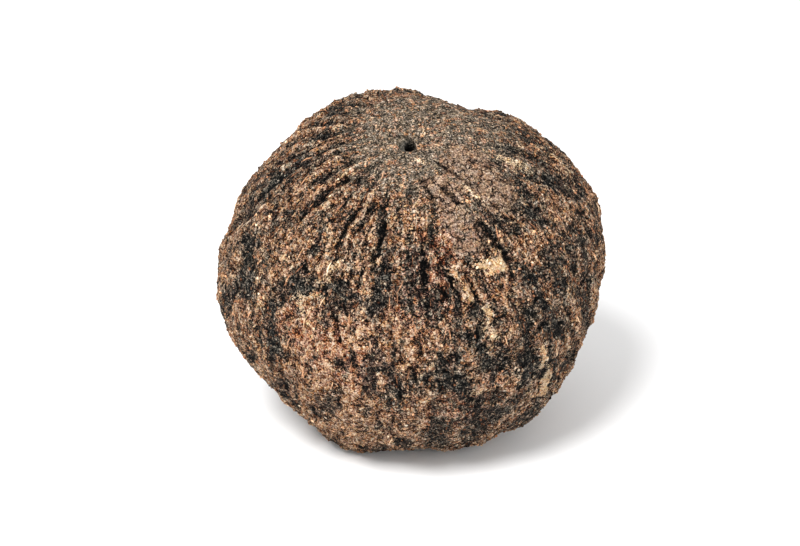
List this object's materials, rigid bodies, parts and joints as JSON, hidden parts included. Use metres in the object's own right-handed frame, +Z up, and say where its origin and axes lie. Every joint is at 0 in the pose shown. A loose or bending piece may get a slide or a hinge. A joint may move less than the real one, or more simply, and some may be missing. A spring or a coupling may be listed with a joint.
{
  "type": "brazil nut pod",
  "caption": "Round, lumpy woody fruit with a small pore in its crown and rough furrowed bark, resting on a small flat spot.",
  "frame": {"origin": "middle of the bottom of the pod's bounding box, on its flat resting spot", "axes": "+Z up, front towards -Y with the pore leaning forward, +X to the right seen from the front"},
  "size_m": [0.1206, 0.1172, 0.1075],
  "materials": {
    "bark": "rough, dry, furrowed bark in brown, tan and near black, with cream scuffs"
  },
  "bodies": {
    "root": {"pod": "bark"}
  },
  "joints": []
}
